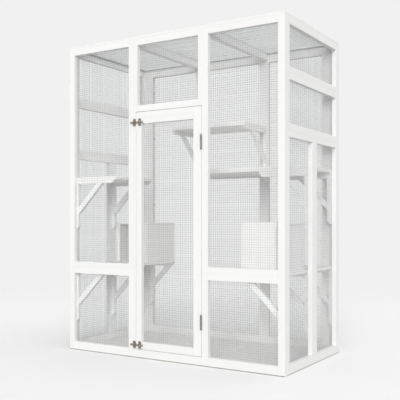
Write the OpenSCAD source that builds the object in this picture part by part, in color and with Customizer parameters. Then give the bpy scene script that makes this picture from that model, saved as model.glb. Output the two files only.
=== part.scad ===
// Walk-in cat house: painted timber panels with wire mesh, a hinged door
// with two barrel bolts, shelves on braced brackets and two nest boxes.
// Origin: centre of the footprint on the ground. X to the right, Y to the rear.

/* [Overall size] */
// Width over the side walls
enclosure_w = 1410; // [1350:1:1560]
// Depth over the front and rear walls
enclosure_d = 740; // [710:1:840]
// Height to the top of the roof trim
enclosure_h = 1800; // [1770:1:1950]
// Thickness of every wall panel
wall_t = 25; // [20:1:30]
// Gap in the glued joints between the battens of one panel
joint_gap = 0.2; // [0.1:0.1:0.5]

/* [Front wall] */
// Width of the stile at each front corner
corner_stile_w = 38; // [30:1:50]
// Width of the stile beside the centre bay
post_w = 38; // [30:1:50]
// Width of the centre bay between the two side bays
centre_bay_w = 448; // [420:1:480]
// Height of the bottom rail of the lower panels
bottom_rail_h = 50; // [40:1:60]
// Height of the top rail of the upper panels
top_rail_h = 38; // [30:1:50]
// Height of the joint between lower and upper panels
panel_joint_z = 492; // [480:1:520]
// Height of the top rail of the lower panels
lower_top_rail_h = 36; // [28:1:45]
// Height of the bottom rail of the upper panels
upper_bottom_rail_h = 33; // [28:1:45]
// Height of the sill under the door
sill_h = 48; // [40:1:60]
// Underside of the transom over the door
transom_z = 1377; // [1340:1:1400]
// Height of the transom
transom_h = 36; // [28:1:45]
// Width of the stiles of the header panel
header_stile_w = 24; // [18:1:30]
// Width of the jamb on the latch side
jamb_w = 14; // [13:1:20]

/* [Door] */
// Gap round the door
door_gap = 2; // [2:0.5:4]
// Width of the stile on the latch side
latch_stile_w = 36; // [34:1:50]
// Width of the stile on the hinge side
hinge_stile_w = 50; // [36:1:60]
// Height of each of the two top rails
door_top_rail_h = 33; // [28:1:45]
// Height of the bottom rail
door_bottom_rail_h = 42; // [36:1:60]
// Thickness of the stop strips behind the door
stop_t = 12; // [8:1:18]
// How far a stop strip laps behind the door
stop_lap = 10; // [6:1:18]
// Width of a stop strip on the wall
stop_seat_w = 12; // [8:1:14]
// Gap between the closed door and its stops
stop_gap = 0.5; // [0.3:0.1:1]

/* [Side walls] */
// Width of the front stile
side_front_stile_w = 30; // [26:1:45]
// Width of the centre stile in the lower panel
side_centre_stile_w = 66; // [50:1:80]
// Width of the rear stile
side_rear_stile_w = 50; // [45:1:65]
// Distance of the centre stile behind the middle of the depth
centre_stile_offset = 5; // [0:1:15]
// Height of the top panel of the right wall
right_top_panel_h = 282; // [250:1:320]
// Height of the middle panel of the right wall
right_middle_panel_h = 287; // [260:1:320]
// Height of the rails between the panels of the right wall
right_rail_h = 33; // [25:1:40]
// Height of the top panel of the left wall
left_top_panel_h = 310; // [280:1:340]
// Height of the middle panel of the left wall
left_middle_panel_h = 312; // [280:1:340]
// Height of the rails between the panels of the left wall
left_rail_h = 29; // [22:1:36]

/* [Rear wall] */
// Width of the two end stiles
rear_end_stile_w = 70; // [60:1:80]
// Height of the bottom rail
rear_bottom_rail_h = 60; // [50:1:70]
// Height of the top rail
rear_top_rail_h = 50; // [40:1:60]

/* [Roof and floor] */
// Thickness of the roof trim
trim_t = 12; // [8:1:18]
// Width of the trim round the edge
trim_w = 38; // [32:1:50]
// Width of a roof beam and of the trim strip over it
beam_w = 36; // [28:1:45]
// Height of a roof beam
beam_h = 38; // [30:1:50]
// Distance from the middle to the centre line of each beam
beam_x = 235; // [225:1:250]
// Thickness of the floor board
floor_t = 16; // [12:1:20]

/* [Wire mesh] */
// Thickness of a mesh sheet
wire_t = 2; // [1:0.5:3]
// Width of a wire
wire_w = 3; // [2:0.5:5]
// Spacing aimed at between the wires
wire_pitch = 155; // [130:1:200]

/* [Shelves] */
// Thickness of the shelf boards on the left wall and of the lower right one
shelf_t = 18; // [14:1:22]
// Reach of the upper left shelf from its wall
shelf_reach = 312; // [290:1:320]
// Reach of both lower shelves from their walls
lower_shelf_reach = 250; // [250:1:300]
// Top of the upper left shelf
left_upper_top_z = 1025; // [1024:1:1060]
// Top of both lower shelves
lower_shelf_top_z = 505; // [490:1:506]
// Top of the upper right platform
platform_top_z = 1068; // [1050:1:1080]
// Thickness of the platform
platform_t = 25; // [18:1:26]
// Length of the platform along its front edge
platform_front_len = 660; // [600:1:700]
// Length of the platform along its rear edge
platform_rear_len = 860; // [700:1:900]
// Gap behind the platform
platform_rear_gap = 27; // [26:1:40]
// Depth of the cleat that carries the platform's rear edge
cleat_d = 38; // [36:1:50]
// Height of the cleat
cleat_h = 12; // [8:1:18]
// Top of the rear shelf
rear_shelf_top_z = 1345; // [1330:1:1370]
// Thickness of the rear shelf
rear_shelf_t = 23; // [16:1:26]
// Width of the rear shelf
rear_shelf_w = 510; // [500:1:540]
// Reach of the rear shelf from the rear wall
rear_shelf_reach = 292; // [280:1:310]

/* [Brackets] */
// Width of the bracket timber across the bracket
bracket_w = 22; // [18:1:24]
// Thickness of the leg and the arm
bracket_t = 21; // [20:1:25]
// Height of the arms under the platform
platform_arm_h = 33; // [28:1:36]
// How far the arms under the upper boards end short of their edge
arm_setback = 20; // [10:1:40]
// Length of the legs of the upper brackets on the side walls
upper_leg = 294; // [260:1:300]
// Length of the legs of the lower brackets on the side walls
lower_leg = 326; // [280:1:340]
// Length of the leg that stands on the rear wall under the left nest box
corner_leg = 287; // [240:1:340]
// Distance of that leg from the side wall
corner_leg_inset = 60; // [50:1:70]
// Length of the legs under the rear shelf
rear_leg = 321; // [280:1:340]
// Thickness of the braces on the side walls
brace_t = 29; // [20:1:34]
// Thickness of the braces under the rear shelf
rear_brace_t = 21; // [16:1:28]
// Distance from the wall to where an upper left brace's outer line meets the shelf
left_upper_brace_reach = 222; // [200:1:230]
// The same distance of the lower left braces
left_lower_brace_reach = 248; // [220:1:250]
// The same distance of the brace under the left nest box, from the back of its leg
corner_brace_reach = 190; // [160:1:190]
// The same distance of the lower right braces
right_lower_brace_reach = 236; // [210:1:250]
// The same distance of the braces under the platform
platform_brace_reach = 232; // [215:1:250]
// The same distance of the braces under the rear shelf
rear_brace_reach = 221; // [200:1:250]
// Bevel on the free ends
end_bevel = 18; // [8:1:19]

/* [Nest boxes] */
// Thickness of the walls
nest_wall_t = 18; // [12:1:20]
// Thickness of the roof boards
nest_roof_t = 12; // [9:1:20]
// How far the roof boards lap over the side walls
nest_roof_lap = 4; // [2:1:8]
// Width of the left box over its roof
left_nest_w = 248; // [230:1:248]
// Depth of the left box
left_nest_d = 301; // [280:1:320]
// Height of the left box over the shelf, roof included
left_nest_h = 250; // [220:1:290]
// Gap between the roof of the left box and the side wall
left_nest_gap = 2; // [1:1:2]
// Width of the strip beside the opening of the left box
nest_strip_w = 18; // [12:1:30]
// Width of the right box over its roof
right_nest_w = 240; // [220:1:250]
// Depth of the right box
right_nest_d = 267; // [240:1:300]
// Height of the right box over the shelf, roof included
right_nest_h = 255; // [230:1:290]
// Gap between the right box and the front wall
right_nest_gap = 5; // [2:1:10]
// Radius of the entrance of the right box
entrance_r = 75; // [60:1:85]

/* [Hinges] */
// Height of a hinge
hinge_h = 78; // [60:1:90]
// Distance of the lower hinge's middle from the bottom of the door
lower_hinge_rise = 182; // [150:1:260]
// Distance of the upper hinge's middle from the top of the door
upper_hinge_drop = 189; // [150:1:260]
// Outer radius of the knuckles
knuckle_r = 5.5; // [4.5:0.1:5.8]
// Radius of the hinge pin
pin_r = 2.5; // [2:0.1:3]
// Clearance of the pin in its knuckles
pin_fit = 0.05; // [0.02:0.01:0.08]
// Depth of a hinge leaf in the gap beside the door
leaf_d = 20; // [14:1:20]
// Clearance between knuckles and beside them
knuckle_gap = 0.3; // [0.3:0.1:0.5]
// Radius of the pin's heads
pin_head_r = 3.6; // [3.2:0.1:4.2]
// Height of the pin's heads
pin_head_h = 1.5; // [1:0.1:3]

/* [Barrel bolts] */
// Distance of the upper bolt from the top of the door
upper_bolt_drop = 57; // [40:1:90]
// Distance of the lower bolt from the bottom of the door
lower_bolt_rise = 23; // [23:1:60]
// Width of a plate
plate_w = 20; // [18:1:24]
// Height of a plate
plate_h = 44; // [40:1:46]
// Thickness of a plate
plate_t = 2; // [1.5:0.5:3]
// Outer radius of the barrels
barrel_r = 5; // [4.8:0.1:6]
// Length of the barrel on the door
barrel_len = 46; // [44:1:56]
// Length of the barrel on the post
keeper_len = 30; // [22:1:34]
// Radius of the bolt
bolt_r = 3.5; // [3:0.1:3.8]
// Clearance of the bolt in its barrel
bolt_fit = 0.05; // [0.02:0.01:0.08]
// Clearance of the bolt in the keeper
keeper_clear = 0.5; // [0.3:0.1:0.8]
// Travel of the bolt
bolt_travel = 20; // [14:1:20]
// Radius of the knob on the bolt
knob_r = 2.2; // [1.8:0.1:2.5]
// Height of the knob over the bolt's axis
knob_h = 11; // [8:1:14]
// Distance of the knob from the end of the bolt
knob_inset = 10; // [6:1:12]
// Distance of a barrel's end from the edge of the door or the jamb
barrel_inset = 2; // [1:0.5:4]

/* [Fasteners] */
// Radius of the bolts that join the walls
joining_bolt_r = 3; // [2.5:0.1:4]
// Radius across the corners of their hexagon heads
bolt_head_r = 5.8; // [5:0.1:7]
// Height of the heads
bolt_head_h = 4; // [3:0.5:6]
// How deep a bolt goes into the far panel
bolt_grip = 12; // [8:1:16]
// Radius of the screws in the bolt plates
screw_r = 1.5; // [1.2:0.1:2]
// Radius of the screw heads
screw_head_r = 3; // [2.5:0.1:3.5]
// Height of the screw heads
screw_head_h = 1.2; // [1:0.1:2]
// How deep a screw goes into the timber
screw_grip = 12; // [8:1:18]
// Clearance of a fastener in its hole
hole_fit = 0.05; // [0.03:0.01:0.1]
// Distance of each screw from the middle of its plate
screw_offset = 13; // [12:0.5:15]

/* [Hidden] */
timber = "#F2F2F0";
board = "#EFEFEC";
wire = "#C9CBCC";
steel = "#9A9C9E";
dark_steel = "#54524E";
round_fn = 24;
small_fn = 16;
hexagon_fn = 6;
// Walls
half_w = enclosure_w / 2;
latch_reach = plate_t + 2 * barrel_r;
hinge_reach = 2 * knuckle_r + knuckle_gap;
hardware_reach = max(latch_reach, hinge_reach);
front_y = (hardware_reach - enclosure_d) / 2;
rear_y = front_y + enclosure_d;
front_in_y = front_y + wall_t;
rear_in_y = rear_y - wall_t;
side_in_x = half_w - wall_t;
wall_h = enclosure_h - trim_t;
bay_half = centre_bay_w / 2;
side_bay_w = half_w - bay_half;
side_len = rear_y - front_in_y;
right_high_joint_z = wall_h - right_top_panel_h;
right_low_joint_z = right_high_joint_z - right_middle_panel_h;
left_high_joint_z = wall_h - left_top_panel_h;
left_low_joint_z = left_high_joint_z - left_middle_panel_h;
centre_stile_y = (front_y + rear_y) / 2 + centre_stile_offset;
// Door
door_x0 = -bay_half + jamb_w + door_gap;
door_x1 = bay_half - door_gap;
door_z0 = sill_h + door_gap;
door_z1 = transom_z - door_gap;
door_w = door_x1 - door_x0;
door_h = door_z1 - door_z0;
door_t = wall_t - stop_gap;
door_in_y = front_y + door_t;
// Hinges
lower_hinge_z = door_z0 + lower_hinge_rise;
upper_hinge_z = door_z1 - upper_hinge_drop;
hinge_x = bay_half - door_gap / 2;
hinge_y = front_y - knuckle_r - knuckle_gap;
leaf_t = door_gap / 2;
knuckle_h = (hinge_h - 2 * knuckle_gap) / 3;
// Barrel bolts
lower_bolt_z = door_z0 + lower_bolt_rise;
upper_bolt_z = door_z1 - upper_bolt_drop;
bolt_y = front_y - plate_t - barrel_r;
jamb_x = -bay_half + jamb_w;
barrel_x0 = door_x0 + barrel_inset;
keeper_x1 = jamb_x - barrel_inset;
plate_x = barrel_x0 + (barrel_len - plate_w) / 2;
keeper_plate_x = jamb_x - plate_w;
knob_x = barrel_x0 + barrel_len - knob_inset;
saddle_w = 2 * bolt_r;

// Placing helpers

// Plane of the front wall: local Z runs from the inner face to the front
module front_plane(x, y, z) {
  translate([x, y, z])
    rotate([90, 0, 0])
      children();
}

// Plane of a side wall: local X runs to the rear, local Y up
module side_plane(x, y, z) {
  translate([x, y, z])
    rotate([90, 0, 90])
      children();
}

// What is drawn on the left, moved to the right
module on_right() {
  mirror([1, 0, 0])
    children();
}

// Panel parts

// Four battens with the stiles running through
module batten_frame(w, h, left, right, bottom, top, t = wall_t) {
  rail_w = w - left - right - 2 * joint_gap;
  cube([left, h, t]);
  translate([w - right, 0, 0])
    cube([right, h, t]);
  translate([left + joint_gap, 0, 0])
    cube([rail_w, bottom, t]);
  translate([left + joint_gap, h - top, 0])
    cube([rail_w, top, t]);
}

// Flat sheet of wires that cross at right angles
module wire_sheet(w, h) {
  columns = max(1, round(w / wire_pitch));
  rows = max(1, round(h / wire_pitch));
  gap_w = (w - wire_w * (columns + 1)) / columns;
  gap_h = (h - wire_w * (rows + 1)) / rows;
  linear_extrude(wire_t)
    difference() {
      square([w, h]);
      for (i = [0 : columns - 1])
        for (j = [0 : rows - 1])
          translate([wire_w + i * (gap_w + wire_w), wire_w + j * (gap_h + wire_w)])
            square([gap_w, gap_h]);
    }
}

// Front wall, drawn on the left

module front_side_frame(z0, z1, bottom, top) {
  color(timber)
    difference() {
      front_plane(-half_w, front_in_y, z0)
        batten_frame(side_bay_w, z1 - z0, corner_stile_w, post_w, bottom, top);
      children();
    }
}

module front_side_mesh(z0, z1, bottom, top) {
  color(wire)
    front_plane(-half_w + corner_stile_w, front_in_y, z0 + bottom)
      wire_sheet(side_bay_w - corner_stile_w - post_w, z1 - z0 - bottom - top);
}

module front_left_lower_frame() {
  front_side_frame(0, panel_joint_z, bottom_rail_h, lower_top_rail_h)
    joining_bolt_set(left_low_joint_z, left_high_joint_z, hole_fit);
}

module front_left_upper_frame() {
  front_side_frame(panel_joint_z, wall_h, upper_bottom_rail_h, top_rail_h)
    joining_bolt_set(left_low_joint_z, left_high_joint_z, hole_fit);
}

module front_right_lower_frame() {
  on_right()
    front_side_frame(0, panel_joint_z, bottom_rail_h, lower_top_rail_h)
      joining_bolt_set(right_low_joint_z, right_high_joint_z, hole_fit);
}

module front_right_upper_frame() {
  on_right()
    front_side_frame(panel_joint_z, wall_h, upper_bottom_rail_h, top_rail_h)
      joining_bolt_set(right_low_joint_z, right_high_joint_z, hole_fit);
}

module front_left_lower_mesh() {
  front_side_mesh(0, panel_joint_z, bottom_rail_h, lower_top_rail_h);
}

module front_left_upper_mesh() {
  front_side_mesh(panel_joint_z, wall_h, upper_bottom_rail_h, top_rail_h);
}

module front_right_lower_mesh() {
  on_right()
    front_left_lower_mesh();
}

module front_right_upper_mesh() {
  on_right()
    front_left_upper_mesh();
}

// Centre bay

module header_frame() {
  color(timber)
    front_plane(-bay_half, front_in_y, transom_z)
      batten_frame(centre_bay_w, wall_h - transom_z, header_stile_w, header_stile_w,
                   transom_h, top_rail_h);
}

module header_mesh() {
  color(wire)
    front_plane(-bay_half + header_stile_w, front_in_y, transom_z + transom_h)
      wire_sheet(centre_bay_w - 2 * header_stile_w,
                 wall_h - transom_z - transom_h - top_rail_h);
}

// Sill under the door and jamb on its latch side
module door_surround() {
  color(timber)
    difference() {
      union() {
        translate([-bay_half, front_y, 0])
          cube([centre_bay_w, wall_t, sill_h]);
        translate([-bay_half, front_y, sill_h + joint_gap])
          cube([jamb_w, wall_t, transom_z - sill_h - joint_gap]);
      }
      plate_screws(keeper_plate_x, hole_fit);
    }
}

module door_stops() {
  side_w = jamb_w + door_gap + stop_lap;
  top_z0 = door_z1 - stop_lap;
  color(timber) {
    translate([-bay_half, front_in_y, sill_h])
      cube([side_w, stop_t, transom_z + stop_seat_w - sill_h]);
    translate([-bay_half + side_w + joint_gap, front_in_y, top_z0])
      cube([centre_bay_w - side_w - joint_gap, stop_t,
            transom_z + stop_seat_w - top_z0]);
  }
}

// Side walls, drawn on the left

module side_frame(z0, z1, bottom, top, has_centre = false) {
  inner_h = z1 - z0 - bottom - top - 2 * joint_gap;
  centre = centre_stile_y - side_centre_stile_w / 2;
  color(timber)
    difference() {
      union() {
        side_plane(-half_w, front_in_y, z0)
          batten_frame(side_len, z1 - z0, side_front_stile_w, side_rear_stile_w,
                       bottom, top);
        if (has_centre)
          side_plane(-half_w, centre, z0 + bottom + joint_gap)
            cube([side_centre_stile_w, inner_h, wall_t]);
      }
      children();
    }
}

module side_sheet(y0, y1, z0, z1) {
  color(wire)
    side_plane(-side_in_x - wire_t, y0, z0)
      wire_sheet(y1 - y0, z1 - z0);
}

module side_mesh(z0, z1, bottom, top, has_centre = false) {
  y0 = front_in_y + side_front_stile_w;
  y1 = rear_y - side_rear_stile_w;
  if (has_centre) {
    side_sheet(y0, centre_stile_y - side_centre_stile_w / 2, z0 + bottom, z1 - top);
    side_sheet(centre_stile_y + side_centre_stile_w / 2, y1, z0 + bottom, z1 - top);
  } else {
    side_sheet(y0, y1, z0 + bottom, z1 - top);
  }
}

module left_wall_lower_frame() {
  side_frame(0, left_low_joint_z, bottom_rail_h, left_rail_h, true)
    joining_bolt_set(left_low_joint_z, left_high_joint_z, hole_fit);
}

module left_wall_middle_frame() {
  side_frame(left_low_joint_z, left_high_joint_z, left_rail_h, left_rail_h)
    joining_bolt_set(left_low_joint_z, left_high_joint_z, hole_fit);
}

module left_wall_top_frame() {
  side_frame(left_high_joint_z, wall_h, left_rail_h, top_rail_h)
    joining_bolt_set(left_low_joint_z, left_high_joint_z, hole_fit);
}

module right_wall_lower_frame() {
  on_right()
    side_frame(0, right_low_joint_z, bottom_rail_h, right_rail_h, true)
      joining_bolt_set(right_low_joint_z, right_high_joint_z, hole_fit);
}

module right_wall_middle_frame() {
  on_right()
    side_frame(right_low_joint_z, right_high_joint_z, right_rail_h, right_rail_h)
      joining_bolt_set(right_low_joint_z, right_high_joint_z, hole_fit);
}

module right_wall_top_frame() {
  on_right()
    side_frame(right_high_joint_z, wall_h, right_rail_h, top_rail_h)
      joining_bolt_set(right_low_joint_z, right_high_joint_z, hole_fit);
}

module left_wall_lower_mesh() {
  side_mesh(0, left_low_joint_z, bottom_rail_h, left_rail_h, true);
}

module left_wall_middle_mesh() {
  side_mesh(left_low_joint_z, left_high_joint_z, left_rail_h, left_rail_h);
}

module left_wall_top_mesh() {
  side_mesh(left_high_joint_z, wall_h, left_rail_h, top_rail_h);
}

module right_wall_lower_mesh() {
  on_right()
    side_mesh(0, right_low_joint_z, bottom_rail_h, right_rail_h, true);
}

module right_wall_middle_mesh() {
  on_right()
    side_mesh(right_low_joint_z, right_high_joint_z, right_rail_h, right_rail_h);
}

module right_wall_top_mesh() {
  on_right()
    side_mesh(right_high_joint_z, wall_h, right_rail_h, top_rail_h);
}

// Rear wall, between the side walls

module rear_frame(x0, w, left, right) {
  front_plane(x0, rear_y, 0)
    batten_frame(w, wall_h, left, right, rear_bottom_rail_h, rear_top_rail_h);
}

module rear_sheet(x0, w) {
  color(wire)
    front_plane(x0, rear_in_y + wire_t, rear_bottom_rail_h)
      wire_sheet(w, wall_h - rear_bottom_rail_h - rear_top_rail_h);
}

module rear_end_frame() {
  rear_frame(-side_in_x, side_in_x - bay_half, rear_end_stile_w, post_w);
}

module rear_left_frame() {
  color(timber)
    difference() {
      rear_end_frame();
      joining_bolt_set(left_low_joint_z, left_high_joint_z, hole_fit);
    }
}

module rear_right_frame() {
  color(timber)
    on_right()
      difference() {
        rear_end_frame();
        joining_bolt_set(right_low_joint_z, right_high_joint_z, hole_fit);
      }
}

module rear_centre_frame() {
  color(timber)
    rear_frame(-bay_half, centre_bay_w, header_stile_w, header_stile_w);
}

module rear_left_mesh() {
  rear_sheet(-side_in_x + rear_end_stile_w,
             side_in_x - bay_half - rear_end_stile_w - post_w);
}

module rear_right_mesh() {
  on_right()
    rear_left_mesh();
}

module rear_centre_mesh() {
  rear_sheet(-bay_half + header_stile_w, centre_bay_w - 2 * header_stile_w);
}

// Roof and floor

module roof_beams() {
  color(timber)
    for (side = [-1, 1])
      translate([side * beam_x - beam_w / 2, front_in_y, wall_h - beam_h])
        cube([beam_w, rear_in_y - front_in_y, beam_h]);
}

module roof_trim() {
  between_y0 = front_y + trim_w + joint_gap;
  between_d = enclosure_d - 2 * (trim_w + joint_gap);
  color(timber)
    translate([0, 0, wall_h]) {
      for (y = [front_y, rear_y - trim_w])
        translate([-half_w, y, 0])
          cube([enclosure_w, trim_w, trim_t]);
      for (x = [-half_w, half_w - trim_w])
        translate([x, between_y0, 0])
          cube([trim_w, between_d, trim_t]);
      for (side = [-1, 1])
        translate([side * beam_x - beam_w / 2, between_y0, 0])
          cube([beam_w, between_d, trim_t]);
    }
}

module roof_mesh() {
  inner_d = rear_in_y - front_in_y;
  middle_w = 2 * beam_x - beam_w;
  side_w = side_in_x - beam_x - beam_w / 2;
  color(wire)
    translate([0, front_in_y, wall_h - wire_t]) {
      translate([-middle_w / 2, 0, 0])
        wire_sheet(middle_w, inner_d);
      for (x = [-side_in_x, side_in_x - side_w])
        translate([x, 0, 0])
          wire_sheet(side_w, inner_d);
    }
}

module floor_board() {
  color(board)
    translate([-side_in_x, front_in_y, 0])
      cube([2 * side_in_x, rear_in_y - front_in_y, floor_t]);
}

// Shelves

module left_shelf(reach, rear_end_y, top_z) {
  color(board)
    translate([-side_in_x, front_in_y, top_z - shelf_t])
      cube([reach, rear_end_y - front_in_y, shelf_t]);
}

// Half as deep as the room: it ends at the rear face of its second bracket
module left_upper_shelf() {
  left_shelf(shelf_reach, centre_stile_y + bracket_w / 2, left_upper_top_z);
}

module left_lower_shelf() {
  left_shelf(lower_shelf_reach, rear_in_y, lower_shelf_top_z);
}

module right_lower_shelf() {
  on_right()
    left_lower_shelf();
}

// Board whose free end runs obliquely, on the right
module right_platform() {
  y0 = centre_stile_y - side_centre_stile_w / 2;
  y1 = rear_in_y - platform_rear_gap;
  color(board)
    translate([0, 0, platform_top_z - platform_t])
      linear_extrude(platform_t)
        polygon([
          [side_in_x, y0], [side_in_x, y1],
          [side_in_x - platform_rear_len, y1], [side_in_x - platform_front_len, y0]
        ]);
}

module rear_shelf() {
  color(board)
    translate([-rear_shelf_w / 2, rear_in_y - rear_shelf_reach,
               rear_shelf_top_z - rear_shelf_t])
      cube([rear_shelf_w, rear_shelf_reach, rear_shelf_t]);
}

// Brackets: leg on the wall, arm under the shelf, brace at 45 degrees between
// them, whose outer line meets wall and shelf at the distance reach

module bracket(leg, arm, reach, brace, arm_h = bracket_t) {
  inner = reach - brace * sqrt(2);
  top = arm_h + joint_gap;
  side = bracket_t + joint_gap;
  rotate([90, 0, 0])
    linear_extrude(bracket_w) {
      polygon([
        [0, 0], [arm, 0], [arm, end_bevel - arm_h],
        [arm - end_bevel, -arm_h], [0, -arm_h]
      ]);
      polygon([
        [0, -top], [bracket_t, -top], [bracket_t, end_bevel - leg],
        [bracket_t - end_bevel, -leg], [0, -leg]
      ]);
      polygon([
        [reach - top, -top], [inner - top, -top],
        [side, side - inner], [side, side - reach]
      ]);
    }
}

// Bracket on the left wall with its front face at y0, under a board at z
module left_bracket(y0, z, leg, arm, reach, arm_h = bracket_t) {
  translate([-side_in_x, y0 + bracket_w, z])
    bracket(leg, arm, reach, brace_t, arm_h);
}

// Brackets beside the front wall and on the centre stile
module left_bracket_pair(z, leg, arm, reach) {
  for (y = [front_in_y, centre_stile_y - bracket_w / 2])
    left_bracket(y, z, leg, arm, reach);
}

module left_upper_brackets() {
  color(timber)
    left_bracket_pair(left_upper_top_z - shelf_t, upper_leg, shelf_reach - arm_setback,
                      left_upper_brace_reach);
}

// Their third bracket has its leg on the rear wall, under the nest box
module left_lower_brackets() {
  z = lower_shelf_top_z - shelf_t;
  color(timber) {
    left_bracket_pair(z, lower_leg, lower_shelf_reach, left_lower_brace_reach);
    translate([-side_in_x + corner_leg_inset, rear_in_y, z])
      bracket(corner_leg, lower_shelf_reach - corner_leg_inset, corner_brace_reach, brace_t);
  }
}

// Brackets of the platform, and the cleat under its rear edge that runs from
// leg to leg of the rear shelf brackets
module platform_brackets() {
  z = platform_top_z - platform_t;
  cleat_x = rear_shelf_w / 2 - bracket_w - joint_gap;
  color(timber) {
    on_right()
      for (y = [centre_stile_y - side_centre_stile_w / 2,
                rear_in_y - platform_rear_gap - bracket_w])
        left_bracket(y, z, upper_leg, shelf_reach - arm_setback, platform_brace_reach,
                     platform_arm_h);
    translate([-cleat_x, rear_in_y - cleat_d, z - cleat_h])
      cube([2 * cleat_x, cleat_d, cleat_h]);
  }
}

module right_lower_brackets() {
  color(timber)
    on_right()
      for (y = [front_in_y, centre_stile_y - side_centre_stile_w / 2,
                rear_in_y - bracket_w])
        left_bracket(y, lower_shelf_top_z - shelf_t, lower_leg, lower_shelf_reach,
                     right_lower_brace_reach);
}

module rear_shelf_brackets() {
  color(timber)
    for (right_x = [-rear_shelf_w / 2 + bracket_w, rear_shelf_w / 2])
      translate([right_x, rear_in_y, rear_shelf_top_z - rear_shelf_t])
        rotate([0, 0, -90])
          bracket(rear_leg, rear_shelf_reach, rear_brace_reach, rear_brace_t);
}

// Nest boxes

module left_nest_walls() {
  wall_top = left_nest_h - nest_roof_t;
  walls_w = left_nest_w - 2 * nest_roof_lap;
  inner_w = walls_w - 2 * nest_wall_t;
  color(board)
    translate([-side_in_x + left_nest_gap + nest_roof_lap, rear_in_y - left_nest_d,
               lower_shelf_top_z]) {
      cube([nest_wall_t, left_nest_d, wall_top]);
      translate([walls_w - nest_wall_t, 0, 0])
        cube([nest_wall_t, left_nest_d, wall_top]);
      translate([nest_wall_t + joint_gap, left_nest_d - nest_wall_t, 0])
        cube([inner_w - 2 * joint_gap, nest_wall_t, wall_top]);
      translate([walls_w - nest_wall_t - joint_gap - nest_strip_w, 0, 0])
        cube([nest_strip_w, nest_wall_t, wall_top]);
    }
}

module left_nest_roof() {
  color(board)
    translate([-side_in_x + left_nest_gap, rear_in_y - left_nest_d,
               lower_shelf_top_z + left_nest_h - nest_roof_t])
      cube([left_nest_w, left_nest_d, nest_roof_t]);
}

module right_nest_walls() {
  wall_top = right_nest_h - nest_roof_t;
  walls_w = right_nest_w - 2 * nest_roof_lap;
  side_d = right_nest_d - 2 * (nest_wall_t + joint_gap);
  side_y = nest_wall_t + joint_gap;
  color(board)
    translate([side_in_x - right_nest_w + nest_roof_lap, front_in_y + right_nest_gap,
               lower_shelf_top_z]) {
      cube([walls_w, nest_wall_t, wall_top]);
      translate([0, right_nest_d - nest_wall_t, 0])
        cube([walls_w, nest_wall_t, wall_top]);
      translate([walls_w - nest_wall_t, side_y, 0])
        cube([nest_wall_t, side_d, wall_top]);
      difference() {
        translate([0, side_y, 0])
          cube([nest_wall_t, side_d, wall_top]);
        translate([-nest_wall_t, right_nest_d / 2, wall_top / 2])
          rotate([0, 90, 0])
            cylinder(r = entrance_r, h = 3 * nest_wall_t, $fn = 2 * round_fn);
      }
    }
}

module right_nest_roof() {
  color(board)
    translate([side_in_x - right_nest_w, front_in_y + right_nest_gap,
               lower_shelf_top_z + right_nest_h - nest_roof_t])
      cube([right_nest_w, right_nest_d, nest_roof_t]);
}

// Bolts that join the side walls to the front and rear walls

function bolt_heights(low, high) = [
  low / 4, low * 3 / 4, (low + high) / 2, (high + wall_h) / 2
];

// Bolts of the left corners; a clearance above zero draws their holes
module joining_bolt_set(low, high, clearance) {
  mid_t = wall_t / 2;
  for (z = bolt_heights(low, high)) {
    translate([-half_w + mid_t, front_in_y + side_front_stile_w, z])
      rotate([90, 0, 0])
        joining_bolt(side_front_stile_w + bolt_grip, clearance);
    translate([-side_in_x + rear_end_stile_w, rear_y - mid_t, z])
      rotate([0, -90, 0])
        joining_bolt(rear_end_stile_w + bolt_grip, clearance);
  }
}

// Shank along +Z under a head that ends at the origin
module joining_bolt(len, clearance) {
  cylinder(r = joining_bolt_r + clearance, h = len + clearance, $fn = small_fn);
  translate([0, 0, -bolt_head_h])
    cylinder(r = bolt_head_r, h = bolt_head_h, $fn = hexagon_fn);
}

module joining_bolts() {
  color(steel) {
    joining_bolt_set(left_low_joint_z, left_high_joint_z, 0);
    on_right()
      joining_bolt_set(right_low_joint_z, right_high_joint_z, 0);
  }
}

// Hinges: outer knuckles on the post, middle knuckle on the door

module knuckle(z, h) {
  translate([hinge_x, hinge_y, z])
    cylinder(r = knuckle_r, h = h, $fn = round_fn);
}

module leaf_plate(x, y0, z, h) {
  translate([x, y0, z])
    cube([leaf_t, front_y + leaf_d - y0, h]);
}

module pin_bore(z) {
  translate([hinge_x, hinge_y, z - hinge_h])
    cylinder(r = pin_r + pin_fit, h = 2 * hinge_h, $fn = round_fn);
}

module hinge_post_leaves() {
  color(steel)
    for (mid_z = [lower_hinge_z, upper_hinge_z]) {
      z0 = mid_z - hinge_h / 2;
      difference() {
        union() {
          leaf_plate(hinge_x, front_y, z0, hinge_h);
          for (z = [z0, z0 + hinge_h - knuckle_h]) {
            knuckle(z, knuckle_h);
            leaf_plate(hinge_x, hinge_y, z, knuckle_h);
          }
        }
        pin_bore(mid_z);
      }
    }
}

module hinge_door_leaves() {
  color(steel)
    for (mid_z = [lower_hinge_z, upper_hinge_z]) {
      z0 = mid_z - knuckle_h / 2;
      difference() {
        union() {
          leaf_plate(hinge_x - leaf_t, front_y, mid_z - hinge_h / 2, hinge_h);
          knuckle(z0, knuckle_h);
          leaf_plate(hinge_x - leaf_t, hinge_y, z0, knuckle_h);
        }
        pin_bore(mid_z);
      }
    }
}

module hinge_pins() {
  color(steel)
    for (mid_z = [lower_hinge_z, upper_hinge_z])
      translate([hinge_x, hinge_y, mid_z - hinge_h / 2]) {
        cylinder(r = pin_r, h = hinge_h, $fn = round_fn);
        for (z = [-pin_head_h, hinge_h])
          translate([0, 0, z])
            cylinder(r = pin_head_r, h = pin_head_h, $fn = round_fn);
      }
}

// Barrel bolts

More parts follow.
